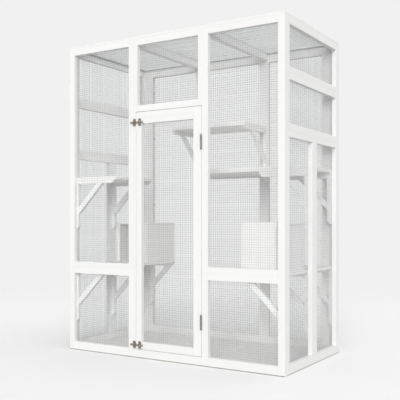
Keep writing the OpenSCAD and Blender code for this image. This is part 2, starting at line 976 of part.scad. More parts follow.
// Plate with round ends on the front face, its lower left corner at x
module bolt_plate(x, z) {
  end_r = plate_w / 2;
  front_plane(x + end_r, front_y, z)
    linear_extrude(plate_t) {
      square([plate_w, plate_h - plate_w], center = true);
      for (end = [-1, 1])
        translate([0, end * (plate_h / 2 - end_r)])
          circle(r = end_r, $fn = round_fn);
    }
}

module rod_along_x(x, z, r, len) {
  translate([x, bolt_y, z])
    rotate([0, 90, 0])
      cylinder(r = r, h = len, $fn = round_fn);
}

// Block that carries the barrel on its plate
module saddle(x, z) {
  translate([x, bolt_y, z - saddle_w / 2])
    cube([plate_w, barrel_r + plate_t, saddle_w]);
}

// Screws of one plate at both heights; a clearance above zero draws holes
module plate_screws(x, clearance) {
  for (mid_z = [lower_bolt_z, upper_bolt_z])
    for (side = [-1, 1])
      translate([x + plate_w / 2, front_y - plate_t, mid_z + side * screw_offset])
        rotate([-90, 0, 0]) {
          cylinder(r = screw_r + clearance, h = plate_t + screw_grip + clearance,
                   $fn = small_fn);
          translate([0, 0, -screw_head_h])
            cylinder(r = screw_head_r, h = screw_head_h, $fn = small_fn);
        }
}

module bolt_keepers() {
  color(dark_steel)
    difference() {
      for (z = [lower_bolt_z, upper_bolt_z]) {
        bolt_plate(keeper_plate_x, z);
        saddle(keeper_plate_x, z);
        rod_along_x(keeper_x1 - keeper_len, z, barrel_r, keeper_len);
      }
      for (z = [lower_bolt_z, upper_bolt_z])
        rod_along_x(keeper_x1 - 2 * keeper_len, z, bolt_r + keeper_clear, 3 * keeper_len);
      plate_screws(keeper_plate_x, hole_fit);
    }
}

module bolt_barrels() {
  slot_w = 2 * (knob_r + keeper_clear);
  color(dark_steel)
    difference() {
      for (z = [lower_bolt_z, upper_bolt_z]) {
        bolt_plate(plate_x, z);
        saddle(plate_x, z);
        rod_along_x(barrel_x0, z, barrel_r, barrel_len);
      }
      for (z = [lower_bolt_z, upper_bolt_z]) {
        rod_along_x(barrel_x0 - barrel_len, z, bolt_r + bolt_fit, 3 * barrel_len);
        translate([knob_x - bolt_travel - slot_w / 2, bolt_y - slot_w / 2, z])
          cube([bolt_travel + slot_w, slot_w, knob_h]);
      }
      plate_screws(plate_x, hole_fit);
    }
}

module keeper_screws() {
  color(dark_steel)
    plate_screws(keeper_plate_x, 0);
}

module barrel_screws() {
  color(dark_steel)
    plate_screws(plate_x, 0);
}

// Bolt drawn back into its barrel, with its knob in the slot
module slide_bolt(z) {
  color(dark_steel) {
    rod_along_x(barrel_x0, z, bolt_r, barrel_len);
    translate([knob_x, bolt_y, z])
      cylinder(r = knob_r, h = knob_h, $fn = small_fn);
  }
}

module upper_slide_bolt() {
  slide_bolt(upper_bolt_z);
}

module lower_slide_bolt() {
  slide_bolt(lower_bolt_z);
}

// Door

module door_frame() {
  rail_w = door_w - latch_stile_w - hinge_stile_w - 2 * joint_gap;
  second_rail_z = door_h - 2 * door_top_rail_h - joint_gap;
  color(timber)
    difference() {
      front_plane(door_x0, door_in_y, door_z0) {
        batten_frame(door_w, door_h, latch_stile_w, hinge_stile_w,
                     door_bottom_rail_h, door_top_rail_h, door_t);
        translate([latch_stile_w + joint_gap, second_rail_z, 0])
          cube([rail_w, door_top_rail_h, door_t]);
      }
      plate_screws(plate_x, hole_fit);
    }
}

module door_mesh() {
  color(wire)
    front_plane(door_x0 + latch_stile_w, door_in_y, door_z0 + door_bottom_rail_h)
      wire_sheet(door_w - latch_stile_w - hinge_stile_w,
                 door_h - door_bottom_rail_h - 2 * door_top_rail_h - joint_gap);
}

front_left_lower_frame();
front_left_upper_frame();
front_right_lower_frame();
front_right_upper_frame();
header_frame();
door_surround();
door_stops();
left_wall_lower_frame();
left_wall_middle_frame();
left_wall_top_frame();
right_wall_lower_frame();
right_wall_middle_frame();
right_wall_top_frame();
rear_left_frame();
rear_centre_frame();
rear_right_frame();
roof_beams();
roof_trim();
floor_board();
front_left_lower_mesh();
front_left_upper_mesh();
front_right_lower_mesh();
front_right_upper_mesh();
header_mesh();
left_wall_lower_mesh();
left_wall_middle_mesh();
left_wall_top_mesh();
right_wall_lower_mesh();
right_wall_middle_mesh();
right_wall_top_mesh();
rear_left_mesh();
rear_centre_mesh();
rear_right_mesh();
roof_mesh();
left_upper_shelf();
left_lower_shelf();
right_platform();
right_lower_shelf();
rear_shelf();
left_upper_brackets();
left_lower_brackets();
platform_brackets();
right_lower_brackets();
rear_shelf_brackets();
left_nest_walls();
left_nest_roof();
right_nest_walls();
right_nest_roof();
joining_bolts();
hinge_post_leaves();
hinge_pins();
bolt_keepers();
keeper_screws();
door_frame();
door_mesh();
hinge_door_leaves();
bolt_barrels();
barrel_screws();
upper_slide_bolt();
lower_slide_bolt();
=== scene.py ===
"""Looks of a walk-in cat house of painted timber panels, welded wire mesh and steel fittings."""

import logging
import math
import random
from dataclasses import dataclass
from enum import Enum
from typing import Any

import bmesh
import bpy
from mathutils import Matrix, Vector


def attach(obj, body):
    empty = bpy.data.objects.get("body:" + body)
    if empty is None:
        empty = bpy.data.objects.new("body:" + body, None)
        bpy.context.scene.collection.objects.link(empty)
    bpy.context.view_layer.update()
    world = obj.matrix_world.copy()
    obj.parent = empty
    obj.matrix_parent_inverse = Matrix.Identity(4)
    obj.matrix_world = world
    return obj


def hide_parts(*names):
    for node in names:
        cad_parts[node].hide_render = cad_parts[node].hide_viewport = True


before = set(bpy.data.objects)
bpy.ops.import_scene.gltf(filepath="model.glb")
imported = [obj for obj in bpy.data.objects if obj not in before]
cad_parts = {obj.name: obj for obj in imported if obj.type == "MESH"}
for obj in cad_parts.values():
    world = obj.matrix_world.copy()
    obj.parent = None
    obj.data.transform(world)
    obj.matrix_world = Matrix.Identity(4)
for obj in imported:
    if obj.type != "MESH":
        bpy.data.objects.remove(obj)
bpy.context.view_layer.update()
LOG = logging.getLogger("cat_house")

MM_PER_M = 1000.0

# The grain map of a dressed piece, and the face values that its paint reads:
# a tone for each batten, the eased edges, and the rounding along the ground,
# which gets a painted contact shadow
GRAIN_UV = "grain"
TONE = "tone"
ARRIS = "arris"
FOOT = "foot"

# Points closer than this are one point
MERGE_M = 1e-6
# Longer than a batten is thick: shorter edges on the ground lie in a joint
LONG_M = 0.028
# A face whose normal points further down than this rests on the ground
RESTING = -0.99
# A face is an end face where its normal's angle to the grain has a sine below this
END_GRAIN = 0.5
# Faces that meet at less than the first are one flat face, at more than the second a corner
FLAT_RAD = math.radians(1)
SHARP_RAD = math.radians(30)
# A solid that fills more than this share of its box is a plain batten or board
BOX_SHARE = 0.985
# Faces across a rounded edge, and the profile value of a true arc
ROUND_FACES = 2
ROUND_PROFILE = 0.5
# Width of the eased edges of a planed batten
BATTEN_EDGE_M = 0.0007
# Numbers of the colour Mix node's sockets; its names stand for several sockets each
MIX_SHARE, MIX_FIRST, MIX_SECOND, MIX_RESULT = 0, 6, 7, 2


class Stock(Enum):
    """What a piece is made from, which decides how its edges are shaded."""

    TIMBER = "timber"
    METAL = "metal"


class Body(Enum):
    """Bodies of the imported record, on which the pieces ride."""

    ROOT = "root"
    DOOR = "door"
    UPPER_BOLT = "upper_bolt"
    LOWER_BOLT = "lower_bolt"


class Slot(Enum):
    """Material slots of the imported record."""

    TIMBER = "painted_timber"
    BOARD = "painted_board"
    WIRE = "wire_mesh"
    ZINC = "zinc_steel"
    DARK_STEEL = "dark_steel"


def srgb(code: str) -> tuple[float, float, float, float]:
    """Turns an sRGB hex value into a linear colour.

    Args:
        code: Six hex digits with a leading hash.

    Returns:
        Red, green, blue and alpha for a shader socket.
    """
    channels = [int(code[i:i + 2], 16) / 255 for i in (1, 3, 5)]
    # The curve's own numbers, from the sRGB standard
    linear = [c / 12.92 if c <= 0.04045 else ((c + 0.055) / 1.055) ** 2.4 for c in channels]
    return (linear[0], linear[1], linear[2], 1.0)


def add_node(tree: bpy.types.NodeTree, kind: str,
             inputs: dict[str | int, Any] | None = None, **settings: Any) -> bpy.types.Node:
    """Adds a node with its settings, values and links.

    Args:
        tree: Node tree that gets the node.
        kind: Node type.
        inputs: Socket name or number to a value, or to the output that feeds it.
        settings: Attributes to set on the node.

    Returns:
        The new node.
    """
    node = tree.nodes.new(kind)
    for name, value in settings.items():
        setattr(node, name, value)
    for key, value in (inputs or {}).items():
        if isinstance(value, bpy.types.NodeSocket):
            tree.links.new(value, node.inputs[key])
        else:
            node.inputs[key].default_value = value
    return node


def calc(tree: bpy.types.NodeTree, operation: str, *values: Any,
         clamp: bool = False) -> bpy.types.NodeSocket:
    """Adds a Math node.

    Args:
        tree: Node tree that gets the node.
        operation: What the node works out.
        values: Its inputs in order, as numbers or as the outputs that feed them.
        clamp: Whether the result is kept between 0 and 1.

    Returns:
        The result.
    """
    return add_node(tree, "ShaderNodeMath", dict(enumerate(values)), operation=operation,
                    use_clamp=clamp).outputs[0]


def mixed_colour(tree: bpy.types.NodeTree, share: bpy.types.NodeSocket, first: Any,
                 second: Any) -> bpy.types.NodeSocket:
    """Mixes two colours.

    Args:
        tree: Node tree that gets the node.
        share: Share of the second colour, from 0 to 1.
        first: Colour, or the output that feeds it.
        second: Colour, or the output that feeds it.

    Returns:
        The mixed colour.
    """
    inputs = {MIX_SHARE: share, MIX_FIRST: first, MIX_SECOND: second}
    return add_node(tree, "ShaderNodeMix", inputs, data_type="RGBA").outputs[MIX_RESULT]


def face_value(tree: bpy.types.NodeTree, name: str) -> bpy.types.NodeSocket:
    """Reads a value that the piece's faces carry.

    Args:
        tree: Tree of the material.
        name: Name of the mesh attribute.

    Returns:
        The value.
    """
    return add_node(tree, "ShaderNodeAttribute", attribute_name=name).outputs["Fac"]


def show(tree: bpy.types.NodeTree, shader: bpy.types.Node,
         output: str = "ShaderNodeOutputMaterial") -> None:
    """Ends a tree with its output node.

    Args:
        tree: Tree of a material or the world.
        shader: Node whose first output is the finished surface.
        output: Node type of the output.
    """
    add_node(tree, output, {"Surface": shader.outputs[0]})


def blank_material(name: str) -> tuple[bpy.types.Material, bpy.types.NodeTree]:
    """Makes a material with an empty node tree.

    Args:
        name: Name of the finish.

    Returns:
        The material and its tree.
    """
    material = bpy.data.materials.new(name)
    material.use_nodes = True
    material.node_tree.nodes.clear()
    return material, material.node_tree


def background_rays(tree: bpy.types.NodeTree) -> bpy.types.NodeSocket:
    """Tells the rays that show the background from those that light the object.

    Args:
        tree: Tree of the world or of the floor's paper.

    Returns:
        One for camera, glossy and transmission rays, and zero for the others.
    """
    path = add_node(tree, "ShaderNodeLightPath").outputs
    shown = calc(tree, "MAXIMUM", path["Is Camera Ray"], path["Is Glossy Ray"])
    return calc(tree, "MAXIMUM", shown, path["Is Transmission Ray"])


@dataclass(frozen=True)
class BrushPaint:
    """Satin water-based paint brushed on planed softwood: even colour, raised grain, low gloss."""

    name: str = "satin_white_paint_on_pine"
    coat: str = "#F1F1F0"
    hollow: str = "#E6E6E4"
    # Painted contact shadow: dark grey on the rounding along the bottom edges
    painted_contact_shadow: str = "#A8A6A1"
    ior: float = 1.48
    roughness: float = 0.46
    roughness_spread: float = 0.12
    # Planed pine shows a growth ring every 3 mm or so, in streaks about 160 mm long
    ring_mm: float = 3.0
    streak_mm: float = 160.0
    ring_detail: float = 4.0
    # Bristle marks of the last coat
    bristle_mm: float = 0.9
    bristle_len_mm: float = 70.0
    bristle_detail: float = 2.0
    streak_roughness: float = 0.55
    # Height of the raised grain, how much of it shows, and the share of the bristle marks
    relief_mm: float = 0.12
    relief_strength: float = 0.5
    bristle_relief: float = 0.35
    # Knots: one in each cell of this length and width, and the share of the cell it takes
    knot_step_mm: tuple[float, float] = (310.0, 62.0)
    knot_share: float = 0.11
    # How far the paint turns to the hollow's colour over rings, eased edges and knots
    ring_shade: float = 0.45
    arris_shade: float = 0.3
    knot_shade: float = 0.55

    def build(self) -> bpy.types.Material:
        """Builds the material on the piece's grain map, whose unit is a metre.

        Returns:
            The material.
        """
        material, tree = blank_material(self.name)
        uv = add_node(tree, "ShaderNodeUVMap", uv_map=GRAIN_UV).outputs["UV"]
        rings = self.streaks(tree, uv, self.streak_mm, self.ring_mm, self.ring_detail)
        bristles = self.streaks(tree, uv, self.bristle_len_mm, self.bristle_mm,
                                self.bristle_detail)
        gloss = calc(tree, "MULTIPLY_ADD", bristles, self.roughness_spread,
                     self.roughness - self.roughness_spread / 2)
        relief = calc(tree, "MULTIPLY_ADD", bristles, self.bristle_relief, rings)
        bump = add_node(tree, "ShaderNodeBump",
                        {"Strength": self.relief_strength,
                         "Distance": self.relief_mm / MM_PER_M, "Height": relief})
        shader = add_node(tree, "ShaderNodeBsdfPrincipled",
                          {"Base Color": self.colour(tree, uv, rings), "Roughness": gloss,
                           "IOR": self.ior, "Normal": bump.outputs["Normal"]})
        show(tree, shader)
        return material

    def colour(self, tree: bpy.types.NodeTree, uv: bpy.types.NodeSocket,
               rings: bpy.types.NodeSocket) -> bpy.types.NodeSocket:
        """Colour of the coat, greyer over rings, eased edges and knots, and dark at the foot as a
        painted contact shadow.

        Args:
            tree: Tree of the material.
            uv: Grain map.
            rings: Noise of the growth rings.

        Returns:
            The colour.
        """
        shade = calc(tree, "MULTIPLY_ADD", rings, self.ring_shade, face_value(tree, TONE))
        shade = calc(tree, "MULTIPLY_ADD", face_value(tree, ARRIS), self.arris_shade, shade,
                     clamp=True)
        shade = calc(tree, "MAXIMUM", self.knots(tree, uv), shade)
        unshadowed_coat = mixed_colour(tree, shade, srgb(self.coat), srgb(self.hollow))
        # Painted contact shadow: the rounding along the ground turns dark grey
        return mixed_colour(tree, face_value(tree, FOOT), unshadowed_coat, srgb(self.painted_contact_shadow))

    def streaks(self, tree: bpy.types.NodeTree, uv: bpy.types.NodeSocket, length_mm: float,
                width_mm: float, detail: float) -> bpy.types.NodeSocket:
        """Draws noise out along the grain.

        Args:
            tree: Tree of the material.
            uv: Grain map, its first axis along the batten.
            length_mm: Length of a streak.
            width_mm: Width of a streak.
            detail: Octaves of the noise.

        Returns:
            The noise factor.
        """
        place = grain_cells(tree, uv, length_mm, width_mm)
        noise = add_node(tree, "ShaderNodeTexNoise",
                         {"Vector": place, "Scale": 1.0, "Detail": detail,
                          "Roughness": self.streak_roughness})
        return noise.outputs["Fac"]

    def knots(self, tree: bpy.types.NodeTree, uv: bpy.types.NodeSocket) -> bpy.types.NodeSocket:
        """Makes faint round knots that stay visible through the paint.

        Args:
            tree: Tree of the material.
            uv: Grain map.

        Returns:
            How far the paint turns to the hollow's colour, at most knot_shade.
        """
        place = grain_cells(tree, uv, *self.knot_step_mm)
        cells = add_node(tree, "ShaderNodeTexVoronoi",
                         {"Vector": place, "Scale": 1.0, "Randomness": 1.0})
        edge = add_node(tree, "ShaderNodeMapRange",
                        {"Value": cells.outputs["Distance"], "From Min": self.knot_share / 2,
                         "From Max": self.knot_share, "To Min": self.knot_shade,
                         "To Max": 0.0}, interpolation_type="SMOOTHSTEP")
        return edge.outputs["Result"]


def grain_cells(tree: bpy.types.NodeTree, uv: bpy.types.NodeSocket, length_mm: float,
                width_mm: float) -> bpy.types.NodeSocket:
    """Scales the grain map so that one unit is one feature of the wood.

    Args:
        tree: Tree of the material.
        uv: Grain map, its first axis along the batten.
        length_mm: Length of a feature along the grain.
        width_mm: Width of a feature across the grain.

    Returns:
        The scaled map.
    """
    scale = (MM_PER_M / length_mm, MM_PER_M / width_mm, 1.0)
    return add_node(tree, "ShaderNodeMapping", {"Vector": uv, "Scale": scale}).outputs[0]


@dataclass(frozen=True)
class GalvanisedWire:
    """Hot-dip galvanised steel wire: dull silver with a faint grey spangle."""

    name: str = "galvanised_steel_wire"
    bright: str = "#C2C4C5"
    dull: str = "#A3A6A8"
    # Weathered zinc is only partly a bare metal
    metallic: float = 0.55
    roughness: float = 0.5
    spangle_mm: float = 14.0
    spangle_detail: float = 2.0

    def build(self) -> bpy.types.Material:
        """Builds the material on object coordinates.

        Returns:
            The material.
        """
        material, tree = blank_material(self.name)
        place = add_node(tree, "ShaderNodeTexCoord").outputs["Object"]
        spangle = add_node(tree, "ShaderNodeTexNoise",
                           {"Vector": place, "Scale": MM_PER_M / self.spangle_mm,
                            "Detail": self.spangle_detail}).outputs["Fac"]
        colour = mixed_colour(tree, spangle, srgb(self.bright), srgb(self.dull))
        shader = add_node(tree, "ShaderNodeBsdfPrincipled",
                          {"Base Color": colour, "Metallic": self.metallic,
                           "Roughness": self.roughness})
        show(tree, shader)
        return material


@dataclass(frozen=True)
class FittingSteel:
    """Stamped and rolled steel of the fittings: fine draw lines and a few spots, rubbed wear, or
    on the bronzed steel painted highlights.
    """

    name: str
    metal: str
    rubbed_wear_and_highlight: str
    metallic: float
    roughness: float
    roughness_spread: float = 0.16
    # Draw lines, one after another along the steel; drawn 1 mm high, so that they show
    line_mm: float = 1.0
    lines_per_m: float = 60.0
    line_detail: float = 3.0
    line_depth_mm: float = 0.1
    line_strength: float = 0.3
    # Rubbed spots, which on the bronzed steel are painted highlights, show where the noise lies
    # between these two values
    spots_per_m: float = 90.0
    spot_detail: float = 4.0
    spot_from: float = 0.5
    spot_to: float = 0.72

    def build(self) -> bpy.types.Material:
        """Builds the material on object coordinates.

        Returns:
            The material.
        """
        material, tree = blank_material(self.name)
        place = add_node(tree, "ShaderNodeTexCoord").outputs["Object"]
        stretch = (self.lines_per_m, self.lines_per_m, MM_PER_M / self.line_mm)
        lines = add_node(tree, "ShaderNodeMapping", {"Vector": place, "Scale": stretch})
        draw = add_node(tree, "ShaderNodeTexNoise",
                        {"Vector": lines.outputs[0], "Scale": 1.0,
                         "Detail": self.line_detail}).outputs["Fac"]
        spots = add_node(tree, "ShaderNodeTexNoise",
                         {"Vector": place, "Scale": self.spots_per_m,
                          "Detail": self.spot_detail}).outputs["Fac"]
        wear_and_highlight = add_node(tree, "ShaderNodeMapRange",
                        {"Value": spots, "From Min": self.spot_from,
                         "From Max": self.spot_to}).outputs["Result"]
        gloss = calc(tree, "MULTIPLY_ADD", draw, self.roughness_spread,
                     self.roughness - self.roughness_spread / 2)
        bump = add_node(tree, "ShaderNodeBump",
                        {"Strength": self.line_strength,
                         "Distance": self.line_depth_mm / MM_PER_M, "Height": draw})
        colour = mixed_colour(tree, wear_and_highlight, srgb(self.metal), srgb(self.rubbed_wear_and_highlight))
        shader = add_node(tree, "ShaderNodeBsdfPrincipled",
                          {"Base Color": colour, "Metallic": self.metallic,
                           "Roughness": gloss, "Normal": bump.outputs["Normal"]})
        show(tree, shader)
        return material


@dataclass(frozen=True)
class StudioPaper:
    """Matt white background paper: it shows near white and gives little light back."""

    name: str = "matt_white_background_paper"
    seen: str = "#F6F6F6"
    far: str = "#F1F1F1"
    bounce: str = "#BCBCBC"
    # It turns into the even background between these distances from the object's middle
    fade_from_m: float = 1.6
    fade_to_m: float = 4.0

    def build(self) -> bpy.types.Material:
        """Builds the material on object coordinates.

        Returns:
            The material.
        """
        material, tree = blank_material(self.name)
        shown = background_rays(tree)
        place = add_node(tree, "ShaderNodeTexCoord").outputs["Object"]
        reach = add_node(tree, "ShaderNodeVectorMath", {0: place},
                         operation="LENGTH").outputs["Value"]
        fade = add_node(tree, "ShaderNodeMapRange",
                        {"Value": reach, "From Min": self.fade_from_m,
                         "From Max": self.fade_to_m},
                        interpolation_type="SMOOTHSTEP").outputs["Result"]
        colour = mixed_colour(tree, shown, srgb(self.bounce), srgb(self.seen))
        paper = add_node(tree, "ShaderNodeBsdfDiffuse", {"Color": colour})
        glow = add_node(tree, "ShaderNodeEmission",
                        {"Color": srgb(self.far), "Strength": 1.0})
        blend = add_node(tree, "ShaderNodeMixShader",
                         {0: calc(tree, "MULTIPLY", fade, shown), 1: paper.outputs[0],
                          2: glow.outputs[0]})
        show(tree, blend)
        return material


@dataclass(frozen=True)
class Solid:
    """One closed solid of a CAD node, as a mesh of its own."""

    mesh: bmesh.types.BMesh
    low: Vector
    high: Vector

    @property
    def size(self) -> Vector:
        """Edge lengths of the solid's box."""
        return self.high - self.low

    @property
    def is_plain_box(self) -> bool:
        """Whether the solid fills its box, apart from small holes."""
        size = self.size
        return self.mesh.calc_volume() > BOX_SHARE * size.x * size.y * size.z


def solids_of(node: str) -> list[Solid]:
    """Splits a CAD node into its closed solids.

    Args:
        node: Name of the CAD node.

    Returns:
        The solids, with merged points, in a fixed order.
    """
    whole = bmesh.new()
    whole.from_mesh(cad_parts[node].data)
    bmesh.ops.remove_doubles(whole, verts=whole.verts, dist=MERGE_M)
    whole.faces.ensure_lookup_table()
    seen: set[int] = set()
    solids = []
    for face in whole.faces:
        if face.index not in seen:
            solids.append(copy_of(joined_to(face, seen)))
    whole.free()
    return solids


def joined_to(start: bmesh.types.BMFace, seen: set[int]) -> list[bmesh.types.BMFace]:
    """Walks from face to face over the edges that they share.

    Args:
        start: Face to start from.
        seen: Numbers of the faces met so far; the new ones are added to it.

    Returns:
        All the faces of one closed solid.
    """
    seen.add(start.index)
    group = [start]
    for face in group:
        for edge in face.edges:
            for other in edge.link_faces:
                if other.index not in seen:
                    seen.add(other.index)
                    group.append(other)
    return group


def copy_of(faces: list[bmesh.types.BMFace]) -> Solid:
    """Copies faces into a mesh of their own.

    Args:
        faces: Faces of one closed solid.

    Returns:
        The solid and its box.
    """
    part = bmesh.new()
    points: dict[int, bmesh.types.BMVert] = {}
    for face in faces:
        for vert in face.verts:
            if vert.index not in points:
                points[vert.index] = part.verts.new(vert.co)
        part.faces.new([points[vert.index] for vert in face.verts])
    spots = [vert.co for vert in part.verts]
    low = Vector([min(spot[i] for spot in spots) for i in range(3)])
    high = Vector([max(spot[i] for spot in spots) for i in range(3)])
    return Solid(part, low, high)


@dataclass
class Dresser:
    """Turns CAD solids into finished pieces with eased edges and a grain map."""

    seed: int = 7
    # Edges that stand on the ground are rounded further, against splinters and damp; the paint
    # puts a painted contact shadow on that rounding
    foot_edge: float = 0.005
    # The most that a batten's grain is moved, in metres, and its paint turned to the hollow's
    grain_shift: float = 9.0
    tone_spread: float = 0.25

    def __post_init__(self) -> None:
        """Starts the random draws that tell one batten from the next."""
        self.draws = random.Random(self.seed)

    def piece(self, name: str, node: str, finish: bpy.types.Material, edge: float,
              stock: Stock = Stock.TIMBER) -> bpy.types.Object:
        """Builds the piece that stands for a CAD node.

        Args:
            name: Name of the piece.
            node: CAD node that it replaces.
            finish: Material of the piece.
            edge: Width of the eased edges, in metres.
            stock: Timber or metal.

        Returns:
            The piece, with its place in its mesh.
        """
        mesh = bmesh.new()
        for solid in solids_of(node):
            self.add_solid(mesh, solid, edge, stock)
        return finished_object(name, mesh, finish)

    def add_solid(self, target: bmesh.types.BMesh, solid: Solid, edge: float,
                  stock: Stock) -> None:
        """Adds one solid with eased edges, its grain map and its tone.

        Args:
            target: Mesh of the piece.
            solid: Solid to add, whose mesh is freed.
            edge: Width of the eased edges, in metres.
            stock: Timber or metal.
        """
        timber = stock is Stock.TIMBER
        part = boxed(solid) if timber and solid.is_plain_box else solid.mesh
        # The layers come first: adding one makes faces found before it stale
        part.loops.layers.uv.new(GRAIN_UV)
        for name in (TONE, ARRIS, FOOT):
            part.faces.layers.float.new(name)
        bmesh.ops.dissolve_limit(part, angle_limit=FLAT_RAD, verts=part.verts,
                                 edges=part.edges)
        along = max(part.edges, key=lambda e: e.calc_length())
        direction = (along.verts[1].co - along.verts[0].co).normalized()
        ground = [e for e in part.edges if timber and lies_on_ground(e)]
        lower = rounded_faces(part, ground, self.foot_edge)
        sharp = [e for e in part.edges if e.calc_face_angle(0.0) > SHARP_RAD
                 and not lower.intersection(e.link_faces)]
        eased = rounded_faces(part, sharp, edge)
        part.normal_update()
        foot = {face for face in part.faces if timber and is_foot(face, self.foot_edge)}
        smooth = eased | foot
        for face in part.faces:
            face.smooth = stock is Stock.METAL or face in smooth
        for line in part.edges:
            line.smooth = line.calc_face_angle(0.0) < SHARP_RAD
        self.map_grain(part, direction, smooth, foot)
        part.normal_update()
        sort_faces(part)
        append(target, part)

    def map_grain(self, part: bmesh.types.BMesh, direction: Vector,
                  rounded: set[bmesh.types.BMFace], foot: set[bmesh.types.BMFace]) -> None:
        """Lays the grain map along the solid, in metres, and gives it a tone of its own.

        Args:
            part: Dressed mesh of the solid.
            direction: Way the grain runs.
            rounded: Faces of its eased edges.
            foot: Faces of its rounding along the ground, which get the painted contact shadow.
        """
        grain = part.loops.layers.uv[GRAIN_UV]
        tone, arris, contact_shadow_layer = (part.faces.layers.float[name] for name in (TONE, ARRIS, FOOT))
        shift = Vector((self.draws.uniform(0.0, self.grain_shift),
                        self.draws.uniform(0.0, self.grain_shift)))
        depth = self.draws.uniform(0.0, self.tone_spread)
        for face in part.faces:
            across = face.normal.cross(direction)
            first = direction
            if across.length < END_GRAIN:
                first = direction.orthogonal().normalized()
                across = face.normal.cross(first)
            for loop in face.loops:
                spot = loop.vert.co
                loop[grain].uv = Vector((spot.dot(first), spot.dot(across))) + shift
            face[tone] = depth
            face[arris] = 1.0 if face in rounded else 0.0
            # Marks the faces that get the painted contact shadow
            face[contact_shadow_layer] = 1.0 if face in foot else 0.0


def rounded_faces(part: bmesh.types.BMesh, edges: list[bmesh.types.BMEdge],
                  width: float) -> set[bmesh.types.BMFace]:
    """Rounds edges of a mesh.

    Args:
        part: Mesh that changes.
        edges: Its edges to round.
        width: Width of the rounding, in metres.

    Returns:
        The faces of the rounding.
    """
    made = bmesh.ops.bevel(part, geom=edges, offset=width, segments=ROUND_FACES,
                           profile=ROUND_PROFILE, affect="EDGES", clamp_overlap=True)
    return set(made["faces"])


def sort_faces(part: bmesh.types.BMesh) -> None:
    """Sorts faces by their middles, because bevels leave them in an order that varies.

    Args:
        part: Mesh whose faces are sorted.
    """
    in_order = sorted(part.faces, key=lambda face: tuple(face.calc_center_median()))
    for number, face in enumerate(in_order):
        face.index = number
    part.faces.sort()


def append(target: bmesh.types.BMesh, part: bmesh.types.BMesh) -> None:
    """Adds one mesh to another, with its layers.

    Args:
        target: Mesh that grows.
        part: Mesh to add, which is freed.
    """
    scratch = bpy.data.meshes.new("scratch")
    part.to_mesh(scratch)
    target.from_mesh(scratch)
    bpy.data.meshes.remove(scratch)
    part.free()


def lies_on_ground(edge: bmesh.types.BMEdge) -> bool:
    """Whether an edge lies on the ground and is longer than a batten is thick."""
    return edge.calc_length() > LONG_M and all(v.co.z < MERGE_M for v in edge.verts)


def is_foot(face: bmesh.types.BMFace, height: float) -> bool:
    """Whether a face belongs to the rounding along the ground.

    Args:
        face: Face of a dressed batten.
        height: Height of the rounding.

    Returns:
        True where the face lies under that height and doesn't rest on the ground.
    """
    low = all(v.co.z <= height + MERGE_M for v in face.verts)
    return low and face.normal.z > RESTING


def boxed(solid: Solid) -> bmesh.types.BMesh:
    """Makes a plain box in the place of a batten or board, without its hidden bores.

    Args:
        solid: The batten or board, whose mesh is freed.

    Returns:
        The box.
    """
    part = bmesh.new()
    bmesh.ops.create_cube(part, size=1.0)
    middle = (solid.low + solid.high) / 2
    bmesh.ops.transform(part, verts=part.verts,
                        matrix=Matrix.Translation(middle) @ Matrix.Diagonal((*solid.size, 1)))
    solid.mesh.free()
    return part


def finished_object(name: str, mesh: bmesh.types.BMesh,
                    finish: bpy.types.Material) -> bpy.types.Object:
    """Makes an object at the origin from a mesh and gives it its finish.

    Args:
        name: Name of the piece.
        mesh: Its mesh, which is freed.
        finish: Its material.

    Returns:
        The object, linked to the scene.
    """
    data = bpy.data.meshes.new(name)
    mesh.to_mesh(data)
    mesh.free()
    data.materials.append(finish)
    piece = bpy.data.objects.new(name, data)
    bpy.context.scene.collection.objects.link(piece)
    return piece


